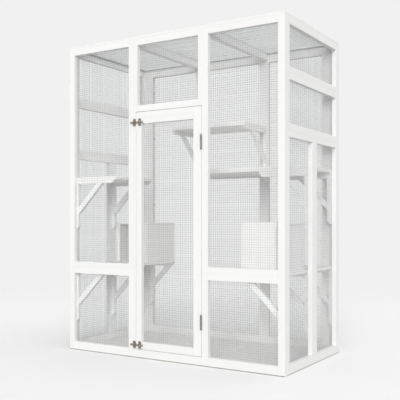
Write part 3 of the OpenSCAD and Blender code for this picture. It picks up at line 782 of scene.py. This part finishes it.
@dataclass
class WireWeaver:
    """Welded wire mesh: straight wires both ways, the upright ones in front."""

    pitch: float = 0.0127
    wire: float = 0.0011
    # Faces round a wire, few because there are thousands of wires
    wire_sides: int = 6
    # Wires run this far into the battens, where they are stapled
    tuck: float = 0.003
    # Width of the band a wire wanders in, its straight stretches, and the noise that bends it
    wander: float = 0.0003
    bend_len: float = 0.12
    bends_per_m: float = 5.0
    bend_detail: float = 1.0

    def __post_init__(self) -> None:
        """Builds the node tree once."""
        self.tree = bpy.data.node_groups.new("welded_wire_mesh", "GeometryNodeTree")
        self.sockets: dict[str, str] = {}
        self.grow_tree()

    def grow_tree(self) -> None:
        """Builds the tree: two rows of wires, bent a little, realised and given a finish."""
        interface = self.tree.interface
        for name, kind in (("Width", "NodeSocketFloat"), ("Height", "NodeSocketFloat"),
                           ("Pitch", "NodeSocketFloat"), ("Wire", "NodeSocketFloat"),
                           ("Wander", "NodeSocketFloat"), ("Bend Length", "NodeSocketFloat"),
                           ("Seed", "NodeSocketInt"), ("Finish", "NodeSocketMaterial")):
            self.sockets[name] = interface.new_socket(name, in_out="INPUT",
                                                      socket_type=kind).identifier
        interface.new_socket("Geometry", in_out="OUTPUT", socket_type="NodeSocketGeometry")
        given = add_node(self.tree, "NodeGroupInput").outputs
        quarter = math.pi / 2
        # Both rows touch in the middle of the sheet, half a wire from their own middles
        front, behind = 0.5, -0.5
        uprights = self.row(given, "Width", "Height", (1.0, 0.0, 0.0), front, (quarter, 0, 0))
        levels = self.row(given, "Height", "Width", (0.0, 1.0, 0.0), behind, (0, quarter, 0))
        both = add_node(self.tree, "GeometryNodeJoinGeometry")
        self.tree.links.new(levels, both.inputs[0])
        self.tree.links.new(uprights, both.inputs[0])
        real = add_node(self.tree, "GeometryNodeRealizeInstances",
                        {0: both.outputs[0]}).outputs[0]
        noise = add_node(self.tree, "ShaderNodeTexNoise",
                         {"W": given["Seed"], "Scale": self.bends_per_m,
                          "Detail": self.bend_detail}, noise_dimensions="4D").outputs["Color"]
        middle = (0.5, 0.5, 0.5)
        centred = add_node(self.tree, "ShaderNodeVectorMath", {0: noise, 1: middle},
                           operation="SUBTRACT").outputs[0]
        shift = self.scaled(centred, given["Wander"])
        bent = add_node(self.tree, "GeometryNodeSetPosition",
                        {"Geometry": real, "Offset": shift}).outputs[0]
        smooth = add_node(self.tree, "GeometryNodeSetShadeSmooth", {0: bent}).outputs[0]
        coated = add_node(self.tree, "GeometryNodeSetMaterial",
                          {"Geometry": smooth, "Material": given["Finish"]}).outputs[0]
        add_node(self.tree, "NodeGroupOutput", {0: coated})

    def row(self, given: Any, across: str, along: str, axis: tuple[float, float, float],
            layer: float, turn: tuple[float, float, float]) -> bpy.types.NodeSocket:
        """Lays one row of parallel wires.

        Args:
            given: Outputs of the group's inputs.
            across: Input that says how wide the row is.
            along: Input that says how long its wires are.
            axis: Direction in which the row is counted.
            layer: Place of the row across the sheet, in wire diameters.
            turn: Turn that lays a wire along the sheet.

        Returns:
            The instanced wires.
        """
        tree = self.tree
        count = calc(tree, "ROUND", calc(tree, "DIVIDE", given[across], given["Pitch"]))
        step = calc(tree, "DIVIDE", given[across], count)
        # The row starts half a step inside one end of the sheet, counted from its middle
        first = calc(tree, "DIVIDE", calc(tree, "SUBTRACT", step, given[across]), 2.0)
        lift = calc(tree, "MULTIPLY", given["Wire"], layer)
        lifted = add_node(tree, "ShaderNodeCombineXYZ", {"Z": lift}).outputs[0]
        start = add_node(tree, "ShaderNodeVectorMath",
                         {0: self.scaled(axis, first), 1: lifted}, operation="ADD").outputs[0]
        line = add_node(tree, "GeometryNodeMeshLine",
                        {"Count": count, "Start Location": start,
                         "Offset": self.scaled(axis, step)}).outputs[0]
        bends = calc(tree, "DIVIDE", given[along], given["Bend Length"])
        radius = calc(tree, "DIVIDE", given["Wire"], 2.0)
        length = calc(tree, "ADD", given[along], 2 * self.tuck)
        wire = add_node(tree, "GeometryNodeMeshCylinder",
                        {"Vertices": self.wire_sides, "Side Segments": bends,
                         "Radius": radius, "Depth": length}, fill_type="NGON").outputs[0]
        return add_node(tree, "GeometryNodeInstanceOnPoints",
                        {"Points": line, "Instance": wire, "Rotation": turn}).outputs[0]

    def scaled(self, vector: Any, factor: bpy.types.NodeSocket) -> bpy.types.NodeSocket:
        """Scales a vector.

        Args:
            vector: Vector, or the output that feeds it.
            factor: Factor.

        Returns:
            The scaled vector.
        """
        return add_node(self.tree, "ShaderNodeVectorMath", {0: vector, "Scale": factor},
                        operation="SCALE").outputs[0]

    def piece(self, name: str, node: str, finish: bpy.types.Material) -> bpy.types.Object:
        """Builds the wires of all the sheets of a CAD node as one plain mesh.

        Args:
            name: Name of the piece.
            node: CAD node that it replaces.
            finish: Material of the wires.

        Returns:
            The piece, with its place in its mesh.
        """
        whole = bmesh.new()
        for number, sheet in enumerate(solids_of(node)):
            wires = self.sheet_mesh(sheet, number, finish)
            whole.from_mesh(wires)
            bpy.data.meshes.remove(wires)
            sheet.mesh.free()
        return finished_object(name, whole, finish)

    def sheet_mesh(self, sheet: Solid, seed: int, finish: bpy.types.Material) -> bpy.types.Mesh:
        """Grows the wires of one sheet and puts them in the sheet's place.

        Args:
            sheet: Flat CAD net.
            seed: Number of the sheet, which tells its bends from the next one's.
            finish: Material of the wires.

        Returns:
            The wires as a plain mesh.
        """
        size = sheet.size
        thin = min(range(3), key=lambda i: size[i])
        wide, tall = (i for i in range(3) if i != thin)
        sizes = {"Width": size[wide], "Height": size[tall], "Pitch": self.pitch,
                 "Wire": self.wire, "Wander": self.wander, "Bend Length": self.bend_len,
                 "Seed": seed, "Finish": finish}
        blank = bpy.data.meshes.new("carrier")
        carrier = bpy.data.objects.new("carrier", blank)
        bpy.context.scene.collection.objects.link(carrier)
        grower = carrier.modifiers.new("wires", "NODES")
        grower.node_group = self.tree
        for label, value in sizes.items():
            grower[self.sockets[label]] = value
        ready = carrier.evaluated_get(bpy.context.evaluated_depsgraph_get())
        wires = bpy.data.meshes.new_from_object(ready)
        bpy.data.objects.remove(carrier)
        bpy.data.meshes.remove(blank)
        axes = [Vector(), Vector(), Vector()]
        axes[0][wide] = 1.0
        axes[1][tall] = 1.0
        axes[2] = axes[0].cross(axes[1])
        turn = Matrix(axes).transposed().to_4x4()
        wires.transform(Matrix.Translation((sheet.low + sheet.high) / 2) @ turn)
        return wires


class Workshop:
    """The finishes and the makers that all the assemblies share."""

    def __init__(self) -> None:
        """Builds each finish once."""
        self.paint = BrushPaint().build()
        # Brackets, shelves and nest boxes take coats brighter than the walls' paint: painted light
        # for the front light that falls on them inside the mesh
        self.bracket_paint_with_painted_light = BrushPaint(name="white_pine_paint_brightened_as_painted_light", coat="#FAFAF9",
                                       hollow="#F0F0EE").build()
        self.board_paint = BrushPaint(name="white_board_paint_brightened_as_painted_light", coat="#FAFAF9",
                                      hollow="#F1F1EF", ring_mm=5.0, streak_mm=260.0,
                                      knot_share=0.0, relief_mm=0.06).build()
        self.wire = GalvanisedWire().build()
        self.zinc = FittingSteel(name="bright_zinc_plated_steel", metal="#B4B6B8",
                                 rubbed_wear_and_highlight="#9DA0A2", metallic=0.9, roughness=0.36).build()
        self.hinge_steel = FittingSteel(name="weathered_zinc_plated_steel", metal="#8A8781",
                                        rubbed_wear_and_highlight="#6F6C67", metallic=0.85,
                                        roughness=0.4).build()
        # On the bronzed steel the light spots are painted highlights, not wear
        self.bronze = FittingSteel(name="dark_bronzed_steel", metal="#8D857B",
                                   rubbed_wear_and_highlight="#CFC8BE", metallic=0.85, roughness=0.34).build()
        self.dresser = Dresser()
        self.weaver = WireWeaver()

    def place(self, piece: bpy.types.Object, body: Body, node: str, slot: Slot) -> None:
        """Hands a piece to the frame and reports it.

        Args:
            piece: The finished piece.
            body: Body that it rides on.
            node: CAD node that it replaces.
            slot: Material slot of the piece; not used.
        """
        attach(piece, body.value)
        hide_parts(node)
        LOG.info("%s on %s: %d faces", piece.name, body.value, len(piece.data.polygons))

    def timber(self, body: Body, nodes: tuple[str, ...], edge: float,
               finish: bpy.types.Material | None = None) -> None:
        """Dresses battens, one piece for each node.

        Args:
            body: Body that they ride on.
            nodes: CAD nodes, of which each becomes a piece.
            edge: Width of the eased edges, in metres.
            finish: Material, or nothing for the walls' paint.
        """
        for node in nodes:
            piece = self.dresser.piece(f"{node}_timber", node, finish or self.paint, edge)
            self.place(piece, body, node, Slot.TIMBER)

    def boards(self, body: Body, nodes: tuple[str, ...], edge: float,
               finish: bpy.types.Material | None = None) -> None:
        """Dresses boards, one piece for each node.

        Args:
            body: Body that they ride on.
            nodes: CAD nodes, of which each becomes a piece.
            edge: Width of the eased edges, in metres.
            finish: Material, or nothing for the shelves' paint, brightened as painted light.
        """
        for node in nodes:
            piece = self.dresser.piece(f"{node}_boards", node, finish or self.board_paint,
                                       edge)
            self.place(piece, body, node, Slot.BOARD)

    def wires(self, body: Body, nodes: tuple[str, ...]) -> None:
        """Fills the sheets of each mesh node with welded wire.

        Args:
            body: Body that they ride on.
            nodes: CAD mesh nodes, of which each becomes a piece.
        """
        for node in nodes:
            piece = self.weaver.piece(f"{node}_wires", node, self.wire)
            self.place(piece, body, node, Slot.WIRE)

    def fittings(self, body: Body, nodes: tuple[str, ...], finish: bpy.types.Material,
                 slot: Slot, edge: float) -> None:
        """Dresses steel fittings, one piece for each node.

        Args:
            body: Body that they ride on.
            nodes: CAD nodes, of which each becomes a piece.
            finish: Material.
            slot: Material slot of the fittings; passed on, but it sets nothing.
            edge: Width of the eased edges, in metres.
        """
        for node in nodes:
            piece = self.dresser.piece(f"{node}_steel", node, finish, edge, Stock.METAL)
            self.place(piece, body, node, slot)


def frames(panels: tuple[str, ...]) -> tuple[str, ...]:
    """Names the CAD nodes of the panels' battens."""
    return tuple(f"{panel}_frame" for panel in panels)


def nets(panels: tuple[str, ...]) -> tuple[str, ...]:
    """Names the CAD nodes of the panels' mesh sheets."""
    return tuple(f"{panel}_mesh" for panel in panels)


@dataclass
class FrontWall:
    """Two stacked panels each side, the header, the sill, the jamb and the door stops."""

    edge: float = BATTEN_EDGE_M

    def dress(self, shop: Workshop) -> None:
        """Builds and places its pieces.

        Args:
            shop: Finishes and makers.
        """
        sides = tuple(f"front_{side}_{part}" for side in ("left", "right")
                      for part in ("lower", "upper"))
        panels = sides + ("header",)
        shop.timber(Body.ROOT, frames(panels), self.edge)
        shop.timber(Body.ROOT, ("door_surround", "door_stops"), self.edge)
        shop.wires(Body.ROOT, nets(panels))


@dataclass
class Door:
    """The door's battens and its wire mesh."""

    edge: float = BATTEN_EDGE_M

    def dress(self, shop: Workshop) -> None:
        """Builds and places its pieces.

        Args:
            shop: Finishes and makers.
        """
        shop.timber(Body.DOOR, frames(("door",)), self.edge)
        shop.wires(Body.DOOR, nets(("door",)))


@dataclass
class SideWalls:
    """Three stacked panels on each side."""

    edge: float = BATTEN_EDGE_M

    def dress(self, shop: Workshop) -> None:
        """Builds and places its pieces.

        Args:
            shop: Finishes and makers.
        """
        panels = tuple(f"{side}_wall_{part}" for side in ("left", "right")
                       for part in ("lower", "middle", "top"))
        shop.timber(Body.ROOT, frames(panels), self.edge)
        shop.wires(Body.ROOT, nets(panels))


@dataclass
class RearWall:
    """Three tall panels side by side."""

    edge: float = BATTEN_EDGE_M

    def dress(self, shop: Workshop) -> None:
        """Builds and places its pieces.

        Args:
            shop: Finishes and makers.
        """
        panels = tuple(f"rear_{part}" for part in ("left", "centre", "right"))
        shop.timber(Body.ROOT, frames(panels), self.edge)
        shop.wires(Body.ROOT, nets(panels))


@dataclass
class RoofAndFloor:
    """Beams, trim strips and mesh of the roof, and the floor board."""

    edge: float = BATTEN_EDGE_M
    board_edge: float = 0.0008

    def dress(self, shop: Workshop) -> None:
        """Builds and places its pieces.

        Args:
            shop: Finishes and makers.
        """
        shop.timber(Body.ROOT, ("roof_beams", "roof_trim"), self.edge)
        shop.wires(Body.ROOT, ("roof_mesh",))
        shop.boards(Body.ROOT, ("floor_board",), self.board_edge, shop.paint)


@dataclass
class Shelving:
    """Shelf boards on brackets of leg, arm and brace."""

    edge: float = BATTEN_EDGE_M
    board_edge: float = 0.0012

    def dress(self, shop: Workshop) -> None:
        """Builds and places its pieces.

        Args:
            shop: Finishes and makers.
        """
        shelves = ("left_upper_shelf", "left_lower_shelf", "right_platform",
                   "right_lower_shelf", "rear_shelf")
        brackets = ("left_upper_brackets", "left_lower_brackets", "platform_brackets",
                    "right_lower_brackets", "rear_shelf_brackets")
        # Boards and brackets take the brightened coats, whose extra brightness is painted light
        shop.boards(Body.ROOT, shelves, self.board_edge)
        shop.timber(Body.ROOT, brackets, self.edge, shop.bracket_paint_with_painted_light)


@dataclass
class NestBoxes:
    """Walls and roof boards of the two nest boxes."""

    edge: float = 0.001

    def dress(self, shop: Workshop) -> None:
        """Builds and places its pieces.

        Args:
            shop: Finishes and makers.
        """
        parts = tuple(f"{side}_nest_{part}" for side in ("left", "right")
                      for part in ("walls", "roof"))
        # The boards take the brightened coat, whose extra brightness is painted light
        shop.boards(Body.ROOT, parts, self.edge)


@dataclass
class Fittings:
    """Hinges, barrel bolts, their screws and the bolts that join the walls."""

    edge: float = 0.0003
    head_edge: float = 0.0008

    def dress(self, shop: Workshop) -> None:
        """Builds and places its pieces.

        Args:
            shop: Finishes and makers.
        """
        zinc, dark = Slot.ZINC, Slot.DARK_STEEL
        shop.fittings(Body.ROOT, ("hinge_post_leaves", "hinge_pins"), shop.hinge_steel, zinc,
                      self.edge)
        shop.fittings(Body.ROOT, ("joining_bolts",), shop.zinc, zinc, self.head_edge)
        shop.fittings(Body.ROOT, ("bolt_keepers", "keeper_screws"), shop.bronze, dark,
                      self.edge)
        shop.fittings(Body.DOOR, ("hinge_door_leaves",), shop.hinge_steel, zinc, self.edge)
        shop.fittings(Body.DOOR, ("bolt_barrels", "barrel_screws"), shop.bronze, dark,
                      self.edge)
        shop.fittings(Body.UPPER_BOLT, ("upper_slide_bolt",), shop.bronze, dark, self.edge)
        shop.fittings(Body.LOWER_BOLT, ("lower_slide_bolt",), shop.bronze, dark, self.edge)


@dataclass
class Studio:
    """Floor, light and camera, at the photograph's viewing angle."""

    camera_at: tuple[float, float, float] = (2.1403, -3.4521, 0.7756)
    yaw_deg: float = 31.96
    lens_mm: float = 62.01
    sensor_mm: float = 36.0
    shift_y: float = 0.04825
    # How far the camera sees, and half the floor's width, in metres
    view_reach: float = 200.0
    floor_half: float = 40.0
    backdrop: str = "#F1F1F1"
    # Strength of the sky below and above, and the Z of its direction between which it grows
    sky_low: float = 0.16
    sky_high: float = 1.1
    sky_rise: tuple[float, float] = (-0.2, 0.8)
    # Share of that light from the left, and the X of its direction between which it grows to all
    sky_left: float = 0.5
    sky_turn: tuple[float, float] = (-1.0, 0.3)
    key_power: float = 2.15
    key_spread_deg: float = 40.0
    key_from: tuple[float, float, float] = (0.49, -0.84, 0.3)

    def build(self) -> None:
        """Builds the whole stage."""
        self.build_floor()
        self.build_world()
        self.build_key()
        self.build_camera()

    def build_floor(self) -> None:
        """Lays the paper."""
        sheet = bmesh.new()
        bmesh.ops.create_grid(sheet, x_segments=1, y_segments=1, size=self.floor_half)
        floor = finished_object("studio_floor", sheet, StudioPaper().build())

    def build_world(self) -> None:
        """Lights the sky, brighter towards the top and the right, behind a plain backdrop."""
        world = bpy.data.worlds.new("studio")
        bpy.context.scene.world = world
        world.use_nodes = True
        tree = world.node_tree
        tree.nodes.clear()
        way = add_node(tree, "ShaderNodeTexCoord").outputs["Generated"]
        split = add_node(tree, "ShaderNodeSeparateXYZ", {0: way}).outputs
        level = add_node(tree, "ShaderNodeMapRange",
                         {"Value": split["Z"], "From Min": self.sky_rise[0],
                          "From Max": self.sky_rise[1], "To Min": self.sky_low,
                          "To Max": self.sky_high}).outputs["Result"]
        side = add_node(tree, "ShaderNodeMapRange",
                        {"Value": split["X"], "From Min": self.sky_turn[0],
                         "From Max": self.sky_turn[1], "To Min": self.sky_left,
                         "To Max": 1.0}).outputs["Result"]
        light = add_node(tree, "ShaderNodeBackground",
                         {"Strength": calc(tree, "MULTIPLY", level, side),
                          "Color": srgb("#FFFFFF")})
        seen = add_node(tree, "ShaderNodeBackground",
                        {"Color": srgb(self.backdrop), "Strength": 1.0})
        blend = add_node(tree, "ShaderNodeMixShader",
                         {0: background_rays(tree), 1: light.outputs[0],
                          2: seen.outputs[0]})
        show(tree, blend, "ShaderNodeOutputWorld")

    def build_key(self) -> None:
        """Hangs a wide soft key light in front, a little to the right and above."""
        lamp = bpy.data.lights.new("key", "SUN")
        lamp.energy = self.key_power
        lamp.angle = math.radians(self.key_spread_deg)
        key = bpy.data.objects.new("key", lamp)
        key.rotation_euler = Vector(self.key_from).to_track_quat("Z", "Y").to_euler()
        bpy.context.scene.collection.objects.link(key)

    def build_camera(self) -> None:
        """Sets up a level camera with a small lens shift, so that uprights stay upright."""
        data = bpy.data.cameras.new("camera")
        data.lens = self.lens_mm
        data.sensor_width = self.sensor_mm
        data.shift_y = self.shift_y
        data.clip_end = self.view_reach
        camera = bpy.data.objects.new("camera", data)
        camera.location = self.camera_at
        camera.rotation_euler = (math.pi / 2, 0.0, math.radians(self.yaw_deg))
        bpy.context.scene.collection.objects.link(camera)
        bpy.context.scene.camera = camera
        bpy.context.scene.view_settings.view_transform = "Standard"


def main() -> None:
    """Builds every assembly in order, then the studio."""
    logging.basicConfig(level=logging.INFO, format="%(message)s")
    shop = Workshop()
    for assembly in (FrontWall(), Door(), SideWalls(), RearWall(), RoofAndFloor(),
                     Shelving(), NestBoxes(), Fittings()):
        assembly.dress(shop)
    Studio().build()


if __name__ == "__main__":
    main()
